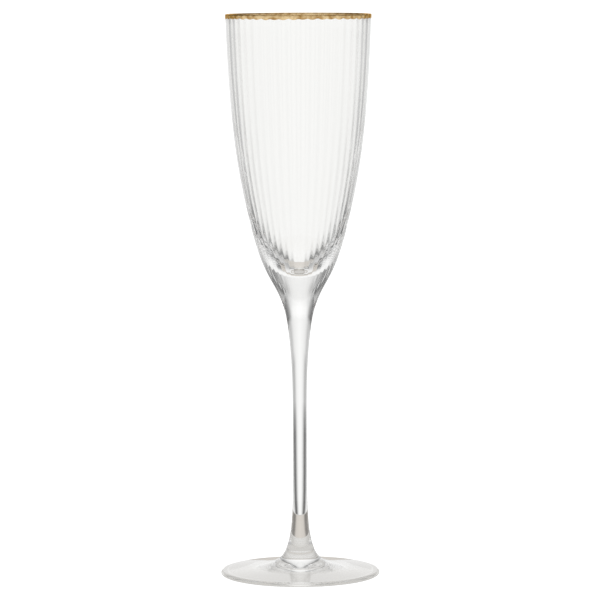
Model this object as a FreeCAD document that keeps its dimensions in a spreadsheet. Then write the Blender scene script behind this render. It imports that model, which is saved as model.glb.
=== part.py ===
"""Champagne flute: a ribbed, mould-blown bowl on a drawn solid stem and a spun foot, with a fired gold rim.

Frame: +Z up along the axis, origin at the centre of the plane that the foot rests on. Millimetres.
The three glass pieces meet at two fused joints, foot to stem and stem to bowl, each a plane disc.
"""

import FreeCAD, Part
import math
import os

import Sketcher

SIZES = {
    # Foot: a thin disc whose top sweeps up to the stem. Its underside is domed, so it stands on a ring.
    "foot_radius": 35.4,
    "foot_edge_height": 1.9,
    "foot_edge_fillet": 0.9,
    "foot_ring_radius": 32.6,
    "foot_dome_height": 3.5,
    # The two fused joints: the height and the radius of each disc.
    "foot_joint_height": 12.0,
    "foot_joint_radius": 6.0,
    "bowl_joint_height": 114.0,
    "bowl_joint_radius": 5.6,
    # Bowl: rounded ribs outside, smooth inside, and a solid base under the cavity.
    "glass_height": 249.9,
    "bowl_mouth_radius": 32.3,
    "rib_count": 48,
    "rib_depth": 0.2,
    "cavity_floor_height": 135.8,
    "cavity_mouth_radius": 31.1,
    "cavity_cut_height": 253.0,
    "lip_fillet": 0.42,
    # Gold: a film over the lip, inside and out. It ends on two cones that meet in a ridge inside the wall.
    # The outer cone crosses the ribs, so the gold reaches lower on each rib than in the valleys beside it.
    "film_thickness": 0.1,
    "gold_height": 250.0,
    "gold_mouth_radius": 31.0,
    "gold_fillet": 0.52,
    "gold_outer_radius": 33.4,
    "gold_outer_height": 246.45,
    "gold_ridge_radius": 31.6,
    "gold_ridge_height": 248.85,
    "gold_inner_radius": 30.0,
    "gold_inner_height": 248.0,
    "gold_cut_height": 251.0,
}

# The outlines' control points (radius, height), between end points that are in the table above.
OUTLINES = {
    "foot_top": [(6.7, 10.0), (8.6, 6.9), (14.5, 4.7), (24.0, 3.3)],
    "stem_side": [(4.6, 16.0), (3.5, 24.0), (3.15, 38.0), (3.2, 66.0), (3.1, 90.0), (4.45, 107.0)],
    "bowl_side": [(6.43, 119.0), (9.3, 127.0), (16.55, 138.0), (22.85, 160.0), (30.65, 200.0)],
    "cavity_side": [(4.6, 135.8), (9.2, 140.8), (15.4, 148.0), (21.6, 164.0), (29.9, 206.0)],
}

# How much of the full rib depth each control point of the bowl's side has, from the stem up to the lip.
RIB_SHARES = (0.0, 0.0, 0.05, 0.15, 0.5, 0.9, 1.0)
# One rib as four control points around the bowl: 1 is the crest and 0 is the valley.
# The shoulders are high, which makes the ribs broad and the valleys between them narrow.
RIB_WAVE = (1.0, 0.72, 0.0, 0.72)
# The bowl's side is stored as this many equal faces of four ribs each.
SECTORS = 12

CUBIC = 3
POLE_CIRCLE_RADIUS = 1.0
TOLERANCE = 1e-3
AXIS = None
BASE = None


def fill_sheet(doc):
    """Writes every size into the spreadsheet, each under its own alias."""
    sheet = doc.addObject("Spreadsheet::Sheet", "Sizes")
    cells = dict(SIZES)
    for outline, points in OUTLINES.items():
        for number, (radius, height) in enumerate(points, 1):
            cells[f"{outline}_radius_{number}"] = radius
            cells[f"{outline}_height_{number}"] = height
    for row, (alias, value) in enumerate(cells.items(), 1):
        sheet.set(f"A{row}", alias)
        sheet.set(f"B{row}", str(value))
        sheet.setAlias(f"B{row}", alias)
    doc.recompute()


def size(doc, alias):
    """A number from the spreadsheet."""
    return float(doc.Sizes.get(alias))


def outline(name, start, end):
    """An outline's points from end to end, each as its (radius, height) aliases."""
    numbers = range(1, len(OUTLINES[name]) + 1)
    middle = [(f"{name}_radius_{number}", f"{name}_height_{number}") for number in numbers]
    return [start, *middle, end]


def vector(doc, point):
    """A point of a half section. An alias of AXIS or BASE stands for zero."""
    return FreeCAD.Vector(*(size(doc, alias) if alias else 0.0 for alias in point), 0)


def new_body(doc, label):
    """A body in the shared frame, so its placement is the identity."""
    body = doc.addObject("PartDesign::Body", label)
    body.Label = label
    body.Placement = FreeCAD.Placement()
    return body


def new_half_section(body, name):
    """An empty sketch in the body's XZ plane: its x is a radius and its y is a height."""
    sketch = body.newObject("Sketcher::SketchObject", name)
    plane = next(item for item in body.Origin.OriginFeatures if item.Role == "XZ_Plane")
    sketch.AttachmentSupport = [(plane, "")]
    sketch.MapMode = "FlatFace"
    return sketch


def fix_coordinate(sketch, kind, geometry, end, alias):
    """Binds one coordinate of a point to the sheet. Zero means that the point is on that axis."""
    if alias is None:
        axis = {"DistanceX": -2, "DistanceY": -1}[kind]
        sketch.addConstraint(Sketcher.Constraint("PointOnObject", geometry, end, axis))
        return
    value = size(sketch.Document, alias)
    index = sketch.addConstraint(Sketcher.Constraint(kind, -1, 1, geometry, end, value))
    sketch.setExpression(f"Constraints[{index}]", f"Sizes.{alias}")


def fix_point(sketch, geometry, end, point):
    radius, height = point
    fix_coordinate(sketch, "DistanceX", geometry, end, radius)
    fix_coordinate(sketch, "DistanceY", geometry, end, height)


def add_spline(sketch, points):
    """A cubic B-spline with every control point bound to the sheet."""
    poles = [vector(sketch.Document, point) for point in points]
    normal = FreeCAD.Vector(0, 0, 1)
    circles = [sketch.addGeometry(Part.Circle(pole, normal, POLE_CIRCLE_RADIUS), True) for pole in poles]
    curve = Part.BSplineCurve()
    curve.buildFromPoles(poles, False, CUBIC)
    spline = sketch.addGeometry(curve, False)
    alignment = "InternalAlignment:Sketcher::BSplineControlPoint"
    for number, circle in enumerate(circles):
        sketch.addConstraint(Sketcher.Constraint(alignment, circle, 3, spline, number))
    sketch.addConstraint(Sketcher.Constraint("Weight", circles[0], 1.0))
    for circle in circles[1:]:
        sketch.addConstraint(Sketcher.Constraint("Equal", circles[0], circle))
    for circle, point in zip(circles, points):
        fix_point(sketch, circle, 3, point)
    return spline


def add_line(sketch, start, end):
    doc = sketch.Document
    return sketch.addGeometry(Part.LineSegment(vector(doc, start), vector(doc, end)))


def join_ends(sketch, edges):
    """Makes each edge end where the next one starts, all the way round."""
    for edge, following in zip(edges, edges[1:] + edges[:1]):
        sketch.addConstraint(Sketcher.Constraint("Coincident", edge, 2, following, 1))


def draw_splined(sketch, points, corners):
    """A closed half section: a spline, then straight lines through the corners back to its start."""
    route = [points[-1], *corners, points[0]]
    spline = add_spline(sketch, points)
    lines = [add_line(sketch, start, end) for start, end in zip(route, route[1:])]
    join_ends(sketch, [spline, *lines])
    for line, corner in zip(lines[1:], corners):
        fix_point(sketch, line, 1, corner)


def draw_polygon(sketch, corners):
    """A closed half section of straight lines."""
    lines = [add_line(sketch, start, end) for start, end in zip(corners, corners[1:] + corners[:1])]
    join_ends(sketch, lines)
    for line, corner in zip(lines, corners):
        fix_point(sketch, line, 1, corner)


def draw_dome(sketch, edge, apex):
    """The dome under the foot: an arc centred on the axis, down the axis and back along the base."""
    doc = sketch.Document
    reach = vector(doc, edge).x
    rise = vector(doc, apex).y
    dome_radius = (reach**2 + rise**2) / (2 * rise)
    centre = FreeCAD.Vector(0, rise - dome_radius, 0)
    circle = Part.Circle(centre, FreeCAD.Vector(0, 0, 1), dome_radius)
    edge_angle = math.acos(reach / dome_radius)
    arc = sketch.addGeometry(Part.ArcOfCircle(circle, edge_angle, math.pi / 2))
    down = add_line(sketch, apex, (AXIS, BASE))
    out = add_line(sketch, (AXIS, BASE), edge)
    join_ends(sketch, [arc, down, out])
    sketch.addConstraint(Sketcher.Constraint("PointOnObject", arc, 3, -2))
    fix_point(sketch, arc, 1, edge)
    fix_point(sketch, arc, 2, apex)
    sketch.addConstraint(Sketcher.Constraint("Coincident", out, 1, -1, 1))


def turn(kind, sketch, name):
    """Turns a half section about the axis: a Revolution adds glass and a Groove cuts it away."""
    feature = sketch.getParentGeoFeatureGroup().newObject(kind, name)
    feature.Profile = sketch
    feature.ReferenceAxis = (sketch, ["V_Axis"])
    feature.Angle = 360
    sketch.Document.recompute()
    return feature


def edges_like(feature, matches):
    """The names of a feature's edges for which matches(edge) is true."""
    return [f"Edge{number}" for number, edge in enumerate(feature.Shape.Edges, 1) if matches(edge)]


def is_level(edge, height):
    """Whether an edge lies flat at that height."""
    box = edge.BoundBox
    return abs(box.ZMin - height) < TOLERANCE and abs(box.ZMax - height) < TOLERANCE


def is_circle(edge, radius):
    """Whether an edge is a level circle of that radius."""
    box = edge.BoundBox
    return box.ZLength < TOLERANCE and abs(box.XMax - radius) < TOLERANCE


def round_edges(base, edges, radius, name):
    """Fillets the named edges of a feature with a radius from the sheet."""
    fillet = base.getParentGeoFeatureGroup().newObject("PartDesign::Fillet", name)
    fillet.Base = (base, edges)
    fillet.setExpression("Radius", f"Sizes.{radius}")
    fillet.Document.recompute()
    return fillet


def make_foot(doc):
    """The spun foot: a turned disc with a swept top, a domed underside and a fire-polished edge."""
    body = new_body(doc, "foot")
    joint = ("foot_joint_radius", "foot_joint_height")
    edge = ("foot_radius", "foot_edge_height")
    section = new_half_section(body, "foot_section")
    corners = [("foot_radius", BASE), (AXIS, BASE), (AXIS, "foot_joint_height")]
    draw_splined(section, outline("foot_top", joint, edge), corners)
    turn("PartDesign::Revolution", section, "foot_disc")
    dome = new_half_section(body, "foot_dome_section")
    draw_dome(dome, ("foot_ring_radius", BASE), (AXIS, "foot_dome_height"))
    hollowed = turn("PartDesign::Groove", dome, "foot_dome")
    radius = size(doc, "foot_radius")
    rim = edges_like(hollowed, lambda edge: is_circle(edge, radius))
    round_edges(hollowed, rim, "foot_edge_fillet", "foot_edge")
    return body


def make_stem(doc):
    """The drawn stem: a solid rod that flares into both joints."""
    body = new_body(doc, "stem")
    foot_joint = ("foot_joint_radius", "foot_joint_height")
    bowl_joint = ("bowl_joint_radius", "bowl_joint_height")
    section = new_half_section(body, "stem_section")
    corners = [(AXIS, "bowl_joint_height"), (AXIS, "foot_joint_height")]
    draw_splined(section, outline("stem_side", foot_joint, bowl_joint), corners)
    turn("PartDesign::Revolution", section, "stem_rod")
    return body


def rib_ring(doc, radius, depth, height):
    """The control points around the bowl at one height, for ribs with that crest radius and depth."""
    shoulder = RIB_WAVE[1]
    # A uniform cubic spline reaches a sixth of the way from each control point to each of its neighbours.
    crest = (4 * RIB_WAVE[0] + 2 * shoulder) / 6
    valley = (4 * RIB_WAVE[2] + 2 * shoulder) / 6
    count = int(size(doc, "rib_count")) * len(RIB_WAVE)
    inset = (4 + 2 * math.cos(2 * math.pi / count)) / 6
    # The ring starts half a rib past the X axis, which puts a valley on the axis.
    start = len(RIB_WAVE) // 2
    ring = []
    for number in range(count):
        angle = 2 * math.pi * (number + start) / count
        drop = depth * (crest - RIB_WAVE[number % len(RIB_WAVE)]) / (crest - valley)
        reach = (radius - drop) / inset
        ring.append(FreeCAD.Vector(reach * math.cos(angle), reach * math.sin(angle), height))
    return ring


def ribbed_surface(doc, growth, top):
    """The outside of the bowl as one cubic surface, set outwards by growth and ending at the height top."""
    joint = ("bowl_joint_radius", "bowl_joint_height")
    mouth = ("bowl_mouth_radius", "glass_height")
    rings = []
    for point, share in zip(outline("bowl_side", joint, mouth), RIB_SHARES):
        radius, height = vector(doc, point)[:2]
        height = top if point == mouth else height
        rings.append(rib_ring(doc, radius + growth, share * size(doc, "rib_depth"), height))
    columns = [list(column) for column in zip(*rings)]
    around = len(columns)
    spans = len(rings) - CUBIC
    clamped = [CUBIC + 1] + [1] * (spans - 1) + [CUBIC + 1]
    surface = Part.BSplineSurface()
    surface.buildFromPolesMultsKnots(
        columns, [1] * (around + 1), clamped, list(range(around + 1)), list(range(spans + 1)),
        True, False, CUBIC, CUBIC,
    )
    return surface


def split_side(surface):
    """The ribbed surface as equal faces side by side around the axis."""
    first, last, low, high = surface.bounds()
    width = (last - first) / SECTORS
    faces = []
    for number in range(SECTORS):
        sector = surface.copy()
        sector.segment(first + number * width, first + (number + 1) * width, low, high)
        faces.append(sector.toShape())
    return faces


def end_disc(faces, height):
    """The flat face that closes the ribbed side at that height."""
    edges = [edge for face in faces for edge in face.Edges if is_level(edge, height)]
    return Part.Face(Part.Wire(Part.sortEdges(edges)[0]))


def make_ribbed_blank(doc, name, growth, top):
    """A solid of the bowl's outside, closed by a disc at the joint and another at the lip."""
    side = split_side(ribbed_surface(doc, growth, top))
    joint = end_disc(side, size(doc, "bowl_joint_height"))
    shell = Part.makeShell([*side, joint, end_disc(side, top)])
    shell.sewShape()
    blank = doc.addObject("Part::Feature", name)
    blank.Shape = Part.Solid(shell)
    blank.Placement = FreeCAD.Placement()
    return blank


def hollow_out(doc, label, blank, mouth_radius, top_alias, lip_radius):
    """A ribbed blank with the drinking cavity cut into it and both edges of its lip rounded."""
    body = new_body(doc, label)
    body.BaseFeature = blank
    section = new_half_section(body, f"{label}_cavity_section")
    points = outline("cavity_side", (AXIS, "cavity_floor_height"), (mouth_radius, top_alias))
    draw_splined(section, points, [(mouth_radius, "cavity_cut_height"), (AXIS, "cavity_cut_height")])
    hollowed = turn("PartDesign::Groove", section, f"{label}_cavity")
    top = size(doc, top_alias)
    lip = edges_like(hollowed, lambda edge: is_level(edge, top))
    round_edges(hollowed, lip, lip_radius, f"{label}_lip")
    return body


def make_bowl(doc):
    """The mould-blown bowl: ribs outside, smooth inside, with a solid base that grows out of the stem."""
    blank = make_ribbed_blank(doc, "bowl_blank", 0.0, size(doc, "glass_height"))
    return hollow_out(doc, "bowl", blank, "cavity_mouth_radius", "glass_height", "lip_fillet")


def make_gold_limits(doc):
    """A turned ring that holds all of the gold: its lower side is the two limit cones."""
    body = new_body(doc, "gold_limits")
    section = new_half_section(body, "gold_limits_section")
    draw_polygon(section, [
        ("gold_outer_radius", "gold_outer_height"),
        ("gold_ridge_radius", "gold_ridge_height"),
        ("gold_inner_radius", "gold_inner_height"),
        ("gold_inner_radius", "gold_cut_height"),
        ("gold_outer_radius", "gold_cut_height"),
    ])
    turn("PartDesign::Revolution", section, "gold_limits_ring")
    return body


def combine(doc, kind, label, base, tool):
    """A boolean of two objects: Part::Common or Part::Cut."""
    result = doc.addObject(kind, label)
    result.Label = label
    result.Base = base
    result.Tool = tool
    result.Placement = FreeCAD.Placement()
    doc.recompute()
    return result


def make_gold_rim(doc, bowl):
    """The gold film: the lip grown by the film's thickness, between the limit cones, less the glass."""
    growth = size(doc, "film_thickness")
    blank = make_ribbed_blank(doc, "coat_blank", growth, size(doc, "gold_height"))
    coat = hollow_out(doc, "coat", blank, "gold_mouth_radius", "gold_height", "gold_fillet")
    limits = make_gold_limits(doc)
    coated_lip = combine(doc, "Part::Common", "coated_lip", coat, limits)
    glass_lip = combine(doc, "Part::Common", "glass_lip", bowl, limits)
    return combine(doc, "Part::Cut", "gold_rim", coated_lip, glass_lip)


def check(doc, pieces):
    """Stops if any object failed to compute, or if any piece isn't one valid solid."""
    failed = [item.Label for item in doc.Objects if {"Invalid", "Error"} & set(item.State)]
    if failed:
        raise RuntimeError(f"objects that failed to compute: {failed}")
    for piece in pieces:
        shape = piece.Shape
        if shape.isNull() or not shape.isValid() or len(shape.Solids) != 1:
            raise RuntimeError(f"{piece.Label} isn't one valid solid")


def main():
    doc = FreeCAD.newDocument("champagne_flute")
    fill_sheet(doc)
    foot = make_foot(doc)
    stem = make_stem(doc)
    bowl = make_bowl(doc)
    gold_rim = make_gold_rim(doc, bowl)
    pieces = [foot, stem, bowl, gold_rim]
    doc.recompute()
    check(doc, pieces)
    os.makedirs("parts", exist_ok=True)
    for piece in pieces:
        piece.Shape.exportStep(f"parts/{piece.Label}.step")


main()
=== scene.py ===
"""Champagne flute: ribbed clear glass on a solid stem and foot, with a hand-painted gold rim.

The glass stands in the CAD frame: +Z up, origin at the centre of the plane it rests on.
Shapes are worked out in millimetres and turned into metres when a mesh is made.
"""

import math

import bpy
import numpy as np
from mathutils import Matrix


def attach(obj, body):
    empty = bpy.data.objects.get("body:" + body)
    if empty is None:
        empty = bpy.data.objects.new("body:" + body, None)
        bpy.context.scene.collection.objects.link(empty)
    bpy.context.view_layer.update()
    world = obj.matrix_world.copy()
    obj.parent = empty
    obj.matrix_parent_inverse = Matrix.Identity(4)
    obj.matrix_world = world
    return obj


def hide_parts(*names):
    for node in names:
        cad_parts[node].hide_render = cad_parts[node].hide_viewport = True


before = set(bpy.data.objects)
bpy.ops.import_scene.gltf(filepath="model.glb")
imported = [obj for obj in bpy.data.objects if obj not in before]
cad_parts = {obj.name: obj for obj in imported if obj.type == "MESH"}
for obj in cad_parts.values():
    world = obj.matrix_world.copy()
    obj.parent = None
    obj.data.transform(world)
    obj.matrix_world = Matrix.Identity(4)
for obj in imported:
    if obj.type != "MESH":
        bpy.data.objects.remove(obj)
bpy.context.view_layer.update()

MM = 0.001

# ---------------------------------------------------------------- outlines, as (radius, height)
# Each side is a cubic spline with these control points.
GLASS_TOP = 249.9
FOOT_TOP = [(6.0, 12.0), (6.7, 10.0), (8.6, 6.9), (14.5, 4.7), (24.0, 3.3), (35.4, 1.9)]
STEM_SIDE = [(6.0, 12.0), (4.6, 16.0), (3.5, 24.0), (3.15, 38.0), (3.2, 66.0), (3.1, 90.0),
             (4.45, 107.0), (5.6, 114.0)]
BOWL_SIDE = [(5.6, 114.0), (6.43, 119.0), (9.3, 127.0), (16.55, 138.0), (22.85, 160.0),
             (30.65, 200.0), (32.3, GLASS_TOP)]
CAVITY_SIDE = [(0.0, 135.8), (4.6, 135.8), (9.2, 140.8), (15.4, 148.0), (21.6, 164.0),
               (29.9, 206.0), (31.1, GLASS_TOP)]
# How much of the full rib depth each control point of the bowl's side has.
RIB_SHARES = [0.0, 0.0, 0.05, 0.15, 0.5, 0.9, 1.0]

FOOT_RADIUS = 35.4
FOOT_EDGE_FILLET = 0.9
FOOT_EDGE_TOP_CENTRE = 1.04
FOOT_RING_RADIUS = 32.6
FOOT_RING_LAND = 0.9
FOOT_DOME_HEIGHT = 3.5
LIP_FILLET = 0.42
LIP_INSET = 0.014
LIP_GAP = 0.05

# ---------------------------------------------------------------- ribs
RIB_COUNT = 48
RIB_DEPTH = 0.2
# One rib as four control points round the bowl: 1 is the crest and 0 is the valley.
RIB_WAVE = np.array([1.0, 0.72, 0.0, 0.72])

# ---------------------------------------------------------------- how finely the meshes are divided
RIB_STEPS = 12
BOWL_SEGMENTS = RIB_COUNT * RIB_STEPS
STEM_SEGMENTS = 144
FOOT_SEGMENTS = 288
SIDE_ROWS = 96
CAVITY_ROWS = 62
LIP_ROWS = 8
STEM_ROWS = 160
FOOT_TOP_ROWS = 120
DOME_ROWS = 24
FOOT_EDGE_ROWS = 9
GOLD_OUTER_ROWS = 7
GOLD_INNER_ROWS = 6
SHARP_ANGLE = 55

# ---------------------------------------------------------------- gold
FILM_THICKNESS = 0.1
FILM_BITE = 0.015
GOLD_OUTER_EDGE = 247.9
GOLD_INNER_EDGE = 248.5
GOLD_SCALLOP = 0.4

# ---------------------------------------------------------------- camera, in metres and degrees
CAMERA_PLACE = (0.0003, -1.574, 0.277)
CAMERA_TILT_DOWN = 5.584
CAMERA_ROLL = -0.215
LENS = 213.4
LIGHT_BOUNCES = 96

# ---------------------------------------------------------------- studio, in metres and brightness
TABLE_HALF_WIDTH = 1.8
TABLE_GLOW = 0.63
TABLE_TINT = (1.0, 0.98, 0.95)
CEILING_GLOW = 0.06
WHITE = 1.2
WARM = (1.0, 0.94, 0.87)
NARROWING = 0.12
COMPASS_STEP = 3

# Brightness by compass angle, in degrees from straight behind the glass, the same to left and right.
# It is bright behind and in front, with a dark sector between that gives the glass its dark edges.
NEAR_FLOOR = [(0, 0.68), (16, 0.62), (26, 0.2), (45, 0.2), (65, 0.5), (110, 0.5), (180, 0.4)]
FAR_FLOOR = [(0, 0.98), (9, 0.94), (16, 0.76), (22, 0.45), (28, 0.2), (34, 0.1), (45, 0.12), (60, 0.6),
             (75, 0.85), (180, 0.92)]
OUTER_FLOOR = [(0, 0.97), (9, 0.93), (16, 0.86), (22, 0.72), (28, 0.52), (36, 0.42), (46, 0.46), (60, 0.7),
               (75, 0.86), (180, 0.92)]
LOW_WALL = [(0, 0.97), (8, 0.93), (16, 0.88), (24, 0.8), (30, 0.66), (38, 0.52), (48, 0.54), (60, 0.74),
            (75, 0.88), (180, 0.92)]
WALL = [(0, 1.05), (10, 1.0), (18, 0.95), (24, 0.75), (32, 0.35), (45, 0.12), (70, 0.12), (90, 0.45),
        (135, 0.7), (180, 0.85)]
UPPER_WALL = [(0, 0.92), (15, 0.88), (24, 0.7), (36, 0.3), (50, 0.08), (72, 0.08), (95, 0.4), (180, 0.6)]
OVERHEAD = [(0, 0.9), (22, 0.78), (40, 0.4), (55, 0.08), (75, 0.08), (95, 0.35), (180, 0.4)]
ZENITH = [(0, 0.8), (180, 0.5)]

# The surround's rows (distance, height, brightness): out along the floor, then up and over the glass.
FLOOR_ROWS = [(0.118, 0.001, FAR_FLOOR), (0.14, 0.001, FAR_FLOOR), (0.17, 0.001, FAR_FLOOR),
              (0.22, 0.001, FAR_FLOOR), (0.3, 0.001, FAR_FLOOR), (0.45, 0.001, FAR_FLOOR),
              (0.65, 0.001, OUTER_FLOOR), (1.0, 0.001, OUTER_FLOOR), (1.5, 0.001, OUTER_FLOOR)]
WALL_ROWS = [(1.5, 0.02, OUTER_FLOOR), (1.5, 0.07, LOW_WALL), (1.5, 0.24, LOW_WALL), (1.5, 0.36, WALL),
             (1.5, 0.5, WALL), (1.4, 0.75, UPPER_WALL), (1.25, 1.0, UPPER_WALL), (1.05, 1.25, OVERHEAD),
             (0.75, 1.45, OVERHEAD), (0.5, 1.53, ZENITH), (0.0, 1.6, ZENITH)]
NEAR_ROWS = [(0.037, 0.001, NEAR_FLOOR), (0.115, 0.001, NEAR_FLOOR)]


def spline(points, count):
    """Points along a clamped, uniform cubic B-spline with those control points."""
    points = np.array(points, float)
    spans = len(points) - 3
    knots = np.concatenate([np.zeros(3), np.arange(spans + 1), np.full(3, spans)])
    at = np.linspace(0, spans, count)[:, None]
    basis = ((knots[:-1] <= at) & (at < knots[1:])).astype(float)
    basis[-1, spans + 2] = 1.0
    for degree in (1, 2, 3):
        low, high = knots[:-degree - 1], knots[degree + 1:]
        rise = np.divide(at - low, knots[degree:-1] - low,
                         out=np.zeros((count, len(low))), where=knots[degree:-1] > low)
        fall = np.divide(high - at, high - knots[1:-degree],
                         out=np.zeros((count, len(low))), where=high > knots[1:-degree])
        basis = rise * basis[:, :-1] + fall * basis[:, 1:]
    return basis @ points


def rib_drop(angles):
    """How far the surface lies below the rib crests at each angle: 0 on a crest, 1 in a valley."""
    place = angles / (2 * math.pi) * RIB_COUNT * 4 - 2
    pole = np.floor(place).astype(int)
    part = place - pole
    weights = [(1 - part) ** 3, 3 * part ** 3 - 6 * part ** 2 + 4,
               -3 * part ** 3 + 3 * part ** 2 + 3 * part + 1, part ** 3]
    wave = sum(w * RIB_WAVE[(pole + k - 1) % 4] for k, w in enumerate(weights)) / 6
    crest = (4 * RIB_WAVE[0] + 2 * RIB_WAVE[1]) / 6
    valley = (4 * RIB_WAVE[2] + 2 * RIB_WAVE[1]) / 6
    return (crest - wave) / (crest - valley)


def ring_angles(count):
    """Angles evenly spaced round the axis, in radians."""
    return np.arange(count) * 2 * math.pi / count


def arc(centre, radius, start, end, count):
    """Points (radius, height) on an arc, angles in degrees from the +radius direction."""
    turn = np.radians(np.linspace(start, end, count))
    return np.stack([centre[0] + radius * np.cos(turn), centre[1] + radius * np.sin(turn)], axis=1)


# ---------------------------------------------------------------- meshes
def make_piece(name, vertices, faces, node, materials, face_slots=None):
    """A smooth mesh object from millimetre points that stands for one CAD node."""
    mesh = bpy.data.meshes.new(name)
    mesh.from_pydata((np.asarray(vertices) * MM).tolist(), [], faces)
    for material in materials:
        mesh.materials.append(material)
    if face_slots is not None:
        mesh.polygons.foreach_set("material_index", face_slots)
    mesh.shade_smooth()
    mesh.set_sharp_from_angle(angle=math.radians(SHARP_ANGLE))
    mesh.update()
    mesh.validate()
    piece = bpy.data.objects.new(name, mesh)
    bpy.context.scene.collection.objects.link(piece)
    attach(piece, "root")
    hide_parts(node)
    return piece


def grid_faces(rows, columns, wrap=False):
    """Quads between neighbouring rows of a grid that closes around the axis."""
    faces = []
    for row in range(rows if wrap else rows - 1):
        low = row * columns
        high = (row + 1) % rows * columns
        for column in range(columns):
            right = (column + 1) % columns
            faces.append((low + column, low + right, high + right, high + column))
    return faces


def fan(centre, first, columns, upward):
    """Triangles from one centre point to a ring of points."""
    faces = []
    for column in range(columns):
        right = (column + 1) % columns
        ends = (first + column, first + right)
        faces.append((centre, *ends) if upward else (centre, ends[1], ends[0]))
    return faces


def turned(radii, heights, angles):
    """Grid points from radii (rows by columns) and heights (rows by columns)."""
    x = radii * np.cos(angles)
    y = radii * np.sin(angles)
    return np.stack([x, y, np.broadcast_to(heights, x.shape)], axis=2).reshape(-1, 3)


def bowl_rows(angles):
    """Radii and heights of the bowl's rows, from the stem joint up, over the lip and down the cavity."""
    side = spline([(r, z, s) for (r, z), s in zip(BOWL_SIDE, RIB_SHARES)], SIDE_ROWS)
    shoulder = GLASS_TOP - LIP_FILLET
    side = side[side[:, 1] < shoulder - LIP_GAP]
    drop = rib_drop(angles)
    radii = [row[0] - RIB_DEPTH * row[2] * drop for row in side]
    heights = [row[1] for row in side]
    outer = BOWL_SIDE[-1][0] - LIP_INSET - RIB_DEPTH * drop
    inner = CAVITY_SIDE[-1][0]
    for turn in np.radians(np.linspace(0, 90, LIP_ROWS)):
        radii.append(outer - LIP_FILLET * (1 - math.cos(turn)))
        heights.append(shoulder + LIP_FILLET * math.sin(turn))
    for turn in np.radians(np.linspace(90, 180, LIP_ROWS)):
        radii.append(np.full_like(angles, inner + LIP_FILLET * (1 + math.cos(turn))))
        heights.append(shoulder + LIP_FILLET * math.sin(turn))
    cavity = spline(CAVITY_SIDE, CAVITY_ROWS)[::-1]
    cavity = cavity[cavity[:, 1] < shoulder - LIP_GAP]
    radii += [np.full_like(angles, row[0]) for row in cavity[:-1]]
    heights += [row[1] for row in cavity[:-1]]
    return np.array(radii), np.array(heights)[:, None]


def make_bowl(glass, joint):
    """The bowl: ribbed side, rounded lip, smooth cavity, and the disc that is fused to the stem."""
    angles = ring_angles(BOWL_SEGMENTS)
    radii, heights = bowl_rows(angles)
    rows = len(radii)
    points = turned(radii, heights, angles)
    floor = len(points)
    points = np.vstack([points, [(0, 0, CAVITY_SIDE[0][1]), (0, 0, BOWL_SIDE[0][1])]])
    faces = grid_faces(rows, BOWL_SEGMENTS)
    faces += fan(floor, (rows - 1) * BOWL_SEGMENTS, BOWL_SEGMENTS, True)
    glass_count = len(faces)
    faces += fan(floor + 1, 0, BOWL_SEGMENTS, False)
    slots = [0] * glass_count + [1] * BOWL_SEGMENTS
    return make_piece("bowl_glass", points, faces, "bowl", [glass, joint], slots)


def make_stem(glass, joint):
    """The stem: a turned rod with a fused disc at each end."""
    angles = ring_angles(STEM_SEGMENTS)
    side = spline(STEM_SIDE, STEM_ROWS)
    points = turned(np.repeat(side[:, :1], STEM_SEGMENTS, axis=1), side[:, 1:2], angles)
    low = len(points)
    points = np.vstack([points, [(0, 0, STEM_SIDE[0][1]), (0, 0, STEM_SIDE[-1][1])]])
    faces = grid_faces(len(side), STEM_SEGMENTS)
    glass_count = len(faces)
    faces += fan(low, 0, STEM_SEGMENTS, False)
    faces += fan(low + 1, (len(side) - 1) * STEM_SEGMENTS, STEM_SEGMENTS, True)
    slots = [0] * glass_count + [1] * (2 * STEM_SEGMENTS)
    return make_piece("stem_glass", points, faces, "stem", [glass, joint], slots)


def foot_profile():
    """The foot's outline from the middle of its underside, round the edge and up to the stem joint."""
    reach, rise = FOOT_RING_RADIUS, FOOT_DOME_HEIGHT
    dome_radius = (reach ** 2 + rise ** 2) / (2 * rise)
    dome_r = np.linspace(reach / DOME_ROWS, reach, DOME_ROWS)
    dome = np.stack([dome_r, np.sqrt(dome_radius ** 2 - dome_r ** 2) - (dome_radius - rise)], axis=1)
    edge = FOOT_RADIUS - FOOT_EDGE_FILLET
    ring = [(reach + FOOT_RING_LAND, 0.0)]
    under = arc((edge, FOOT_EDGE_FILLET), FOOT_EDGE_FILLET, -90, 0, FOOT_EDGE_ROWS)
    top = spline(FOOT_TOP, FOOT_TOP_ROWS)[::-1]
    top = top[top[:, 0] < edge + 0.1]
    slope = math.degrees(math.atan2(top[0][1] - top[4][1], top[4][0] - top[0][0]))
    over = arc((edge, FOOT_EDGE_TOP_CENTRE), FOOT_EDGE_FILLET, 0, 90 - abs(slope), FOOT_EDGE_ROWS)
    return np.vstack([dome, ring, under, over, top])


def make_foot(glass, joint):
    """The foot: a turned disc with a hollow underside and the disc that is fused to the stem."""
    angles = ring_angles(FOOT_SEGMENTS)
    outline = foot_profile()
    points = turned(np.repeat(outline[:, :1], FOOT_SEGMENTS, axis=1), outline[:, 1:2], angles)
    dome = len(points)
    points = np.vstack([points, [(0, 0, FOOT_DOME_HEIGHT), (0, 0, FOOT_TOP[0][1])]])
    faces = grid_faces(len(outline), FOOT_SEGMENTS)
    faces += fan(dome, 0, FOOT_SEGMENTS, False)
    glass_count = len(faces)
    faces += fan(dome + 1, (len(outline) - 1) * FOOT_SEGMENTS, FOOT_SEGMENTS, True)
    slots = [0] * glass_count + [1] * FOOT_SEGMENTS
    return make_piece("foot_glass", points, faces, "foot", [glass, joint], slots)


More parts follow.
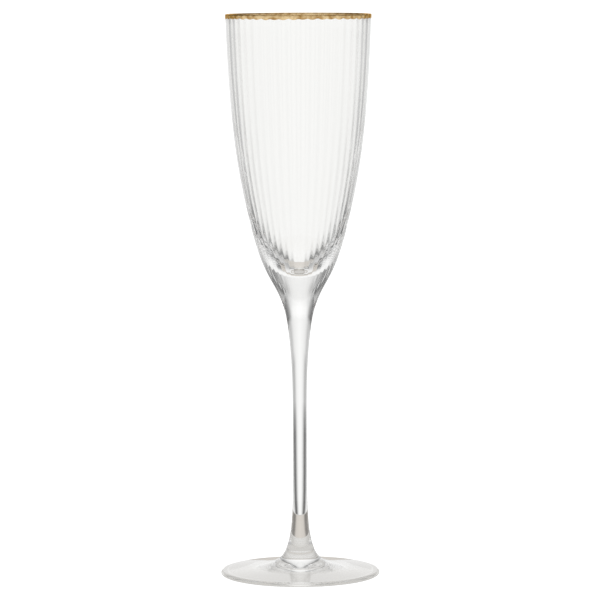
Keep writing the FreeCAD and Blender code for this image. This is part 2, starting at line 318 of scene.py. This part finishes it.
def wander(angles, seed, waves, size):
    """A smooth random line around the rim, made of a few sine waves."""
    rng = np.random.default_rng(seed)
    line = np.zeros_like(angles)
    for count in waves:
        line += rng.normal() * np.sin(count * angles + rng.uniform(0, 2 * math.pi))
    return size * line / math.sqrt(len(waves))


def gold_path(angles):
    """Stations over the lip: (radius, height, outward radius, outward height), each per column."""
    drop = rib_drop(angles)
    outer_edge = GOLD_OUTER_EDGE + GOLD_SCALLOP * drop + wander(angles, 3, (5, 9, 17, 31), 0.07)
    inner_edge = GOLD_INNER_EDGE + wander(angles, 8, (4, 11, 23, 41), 0.1)
    shoulder = GLASS_TOP - LIP_FILLET
    outer = BOWL_SIDE[-1][0] - LIP_INSET - RIB_DEPTH * drop
    lean = (BOWL_SIDE[-1][0] - BOWL_SIDE[-2][0]) / (BOWL_SIDE[-1][1] - BOWL_SIDE[-2][1])
    stations = []
    for share in np.linspace(0, 1, GOLD_OUTER_ROWS)[:-1]:
        height = outer_edge + (shoulder - outer_edge) * share
        stations.append((outer - lean * (shoulder - height), height, 1.0, 0.0))
    for turn in np.radians(np.linspace(0, 90, LIP_ROWS)):
        c, s = math.cos(turn), math.sin(turn)
        stations.append((outer - LIP_FILLET * (1 - c), shoulder + LIP_FILLET * s, c, s))
    inner = CAVITY_SIDE[-1][0]
    for turn in np.radians(np.linspace(90, 180, LIP_ROWS)):
        c, s = math.cos(turn), math.sin(turn)
        stations.append((inner + LIP_FILLET * (1 + c), shoulder + LIP_FILLET * s, c, s))
    for share in np.linspace(0, 1, GOLD_INNER_ROWS)[1:]:
        height = shoulder + (inner_edge - shoulder) * share
        stations.append((inner - lean * (shoulder - height), height, -1.0, 0.0))
    columns = [[np.broadcast_to(value, angles.shape) for value in station] for station in stations]
    return np.array(columns)


def make_gold(gold):
    """The gold: a closed film whose back lies just inside the glass."""
    angles = ring_angles(BOWL_SEGMENTS)
    path = gold_path(angles)
    radii, heights, out_r, out_z = path[:, 0], path[:, 1], path[:, 2], path[:, 3]
    skin_r, skin_z = radii + FILM_THICKNESS * out_r, heights + FILM_THICKNESS * out_z
    back_r, back_z = radii - FILM_BITE * out_r, heights - FILM_BITE * out_z
    all_r = np.vstack([skin_r, back_r[::-1]])
    all_z = np.vstack([skin_z, back_z[::-1]])
    points = turned(all_r, all_z, angles)
    faces = grid_faces(len(all_r), BOWL_SEGMENTS, wrap=True)
    return make_piece("gold_lip", points, faces, "gold_rim", [gold])


# ---------------------------------------------------------------- materials
def new_material(name):
    """A material that uses nodes, with its nodes and links."""
    material = bpy.data.materials.new(name)
    material.use_nodes = True
    return material, material.node_tree.nodes, material.node_tree.links


def glass_material():
    """Clear soda-lime glass with the faint waviness of hand work."""
    material, nodes, links = new_material("clear_glass")
    shader = nodes["Principled BSDF"]
    shader.inputs["Base Color"].default_value = (0.997, 0.997, 0.988, 1)
    shader.inputs["Roughness"].default_value = 0.0
    shader.inputs["IOR"].default_value = 1.5
    shader.inputs["Transmission Weight"].default_value = 1.0
    place = nodes.new("ShaderNodeTexCoord")
    noise = nodes.new("ShaderNodeTexNoise")
    noise.inputs["Scale"].default_value = 60.0
    noise.inputs["Detail"].default_value = 2.0
    bump = nodes.new("ShaderNodeBump")
    bump.inputs["Strength"].default_value = 0.02
    bump.inputs["Distance"].default_value = 0.001
    links.new(place.outputs["Object"], noise.inputs["Vector"])
    links.new(noise.outputs["Fac"], bump.inputs["Height"])
    links.new(bump.outputs["Normal"], shader.inputs["Normal"])
    return material


def joint_material():
    """Where two glass pieces are melted together nothing shows."""
    material, nodes, links = new_material("fused_joint")
    nodes.remove(nodes["Principled BSDF"])
    clear = nodes.new("ShaderNodeBsdfTransparent")
    links.new(clear.outputs["BSDF"], nodes["Material Output"].inputs["Surface"])
    return material


def gold_material():
    """Fired gold: bright metal with fine brushed streaks and slightly browner thin patches."""
    material, nodes, links = new_material("gold_lustre")
    shader = nodes["Principled BSDF"]
    shader.inputs["Metallic"].default_value = 1.0
    shader.inputs["Specular Tint"].default_value = (0.85, 0.62, 0.32, 1)
    place = nodes.new("ShaderNodeTexCoord")
    patch = nodes.new("ShaderNodeTexNoise")
    patch.inputs["Scale"].default_value = 420.0
    patch.inputs["Detail"].default_value = 4.0
    colour = nodes.new("ShaderNodeValToRGB")
    colour.color_ramp.elements[0].position = 0.3
    colour.color_ramp.elements[0].color = (0.42, 0.23, 0.06, 1)
    colour.color_ramp.elements[1].position = 0.62
    colour.color_ramp.elements[1].color = (0.84, 0.63, 0.35, 1)
    rough = nodes.new("ShaderNodeMapRange")
    rough.inputs["To Min"].default_value = 0.32
    rough.inputs["To Max"].default_value = 0.14
    links.new(place.outputs["Object"], patch.inputs["Vector"])
    links.new(patch.outputs["Fac"], colour.inputs["Fac"])
    links.new(patch.outputs["Fac"], rough.inputs["Value"])
    links.new(colour.outputs["Color"], shader.inputs["Base Color"])
    links.new(rough.outputs["Result"], shader.inputs["Roughness"])
    return material


# ---------------------------------------------------------------- studio
def white_for_camera(nodes, links, shader, output):
    """Sends the shader to every ray but the camera's own, which see plain white."""
    white = nodes.new("ShaderNodeEmission")
    white.inputs["Strength"].default_value = WHITE
    path = nodes.new("ShaderNodeLightPath")
    mix = nodes.new("ShaderNodeMixShader")
    links.new(path.outputs["Is Camera Ray"], mix.inputs["Fac"])
    links.new(shader, mix.inputs[1])
    links.new(white.outputs["Emission"], mix.inputs[2])
    links.new(mix.outputs["Shader"], output.inputs["Surface"])


def make_floor():
    """A table top that the camera sees as plain white, with no shadows. The glass sees its own glow."""
    material, nodes, links = new_material("table_white")
    nodes.remove(nodes["Principled BSDF"])
    light = nodes.new("ShaderNodeEmission")
    light.inputs["Color"].default_value = (*TABLE_TINT, 1)
    light.inputs["Strength"].default_value = TABLE_GLOW
    white_for_camera(nodes, links, light.outputs["Emission"], nodes["Material Output"])
    mesh = bpy.data.meshes.new("table")
    w = TABLE_HALF_WIDTH
    mesh.from_pydata([(-w, -w, 0), (w, -w, 0), (w, w, 0), (-w, w, 0)], [], [(0, 1, 2, 3)])
    mesh.materials.append(material)
    table = bpy.data.objects.new("table", mesh)
    bpy.context.scene.collection.objects.link(table)


def glow_material(tint):
    """A sheet that glows as brightly as its points say."""
    material, nodes, links = new_material("surround_glow")
    nodes.remove(nodes["Principled BSDF"])
    bright = nodes.new("ShaderNodeAttribute")
    bright.attribute_name = "brightness"
    light = nodes.new("ShaderNodeEmission")
    light.inputs["Color"].default_value = (*tint, 1)
    links.new(bright.outputs["Fac"], light.inputs["Strength"])
    links.new(light.outputs["Emission"], nodes["Material Output"].inputs["Surface"])
    return material


def make_surround(name, rows, tint, narrowing=0.0):
    """A soft light all round the glass, hidden from the camera, turned about the axis from rows of
    (distance, height, brightness). Narrowing draws the pattern in towards the middle near the glass."""
    compass = np.arange(-180, 181, COMPASS_STEP)
    points, values = [], []
    for distance, height, brightness in rows:
        spread = 1 + (narrowing / distance) ** 2 if distance else 1
        table = np.array(brightness)
        for angle in np.radians(compass):
            points.append((distance * math.sin(angle), distance * math.cos(angle), height))
        values.append(np.interp(abs(compass) * spread, table[:, 0], table[:, 1]))
    columns = len(compass)
    faces = [face for face in grid_faces(len(rows), columns) if face[1] % columns]
    mesh = bpy.data.meshes.new(name)
    mesh.from_pydata(points, [], faces)
    mesh.attributes.new("brightness", "FLOAT", "POINT").data.foreach_set("value", np.concatenate(values))
    mesh.materials.append(glow_material(tint))
    surround = bpy.data.objects.new(name, mesh)
    bpy.context.scene.collection.objects.link(surround)
    surround.visible_camera = False


def make_world():
    """White where the camera sees it, and nearly dark for everything else."""
    world = bpy.data.worlds.new("studio")
    bpy.context.scene.world = world
    world.use_nodes = True
    nodes, links = world.node_tree.nodes, world.node_tree.links
    dim = nodes["Background"]
    dim.inputs["Color"].default_value = (1, 1, 1, 1)
    dim.inputs["Strength"].default_value = CEILING_GLOW
    white_for_camera(nodes, links, dim.outputs["Background"], nodes["World Output"])


def make_camera():
    """The camera stands in front of the glass, a little above it, and looks slightly down."""
    data = bpy.data.cameras.new("camera")
    data.lens = LENS
    data.sensor_width = 36.0
    data.clip_start = 0.05
    camera = bpy.data.objects.new("camera", data)
    camera.location = CAMERA_PLACE
    camera.rotation_euler = (math.radians(90 - CAMERA_TILT_DOWN), 0, 0)
    bpy.context.scene.collection.objects.link(camera)
    bpy.context.view_layer.update()
    roll = Matrix.Rotation(math.radians(CAMERA_ROLL), 4, "Z")
    camera.matrix_world = camera.matrix_world @ roll
    bpy.context.scene.camera = camera


# ---------------------------------------------------------------- the whole scene
scene = bpy.context.scene
scene.view_settings.view_transform = "Standard"
scene.cycles.max_bounces = LIGHT_BOUNCES
scene.cycles.transmission_bounces = LIGHT_BOUNCES
scene.cycles.transparent_max_bounces = LIGHT_BOUNCES
scene.cycles.glossy_bounces = LIGHT_BOUNCES

make_world()
make_floor()
make_surround("surround", FLOOR_ROWS + WALL_ROWS, (1, 1, 1), NARROWING)
make_surround("near_floor", NEAR_ROWS, WARM)
make_camera()

glass = glass_material()
joint = joint_material()
make_bowl(glass, joint)
make_stem(glass, joint)
make_foot(glass, joint)
make_gold(gold_material())
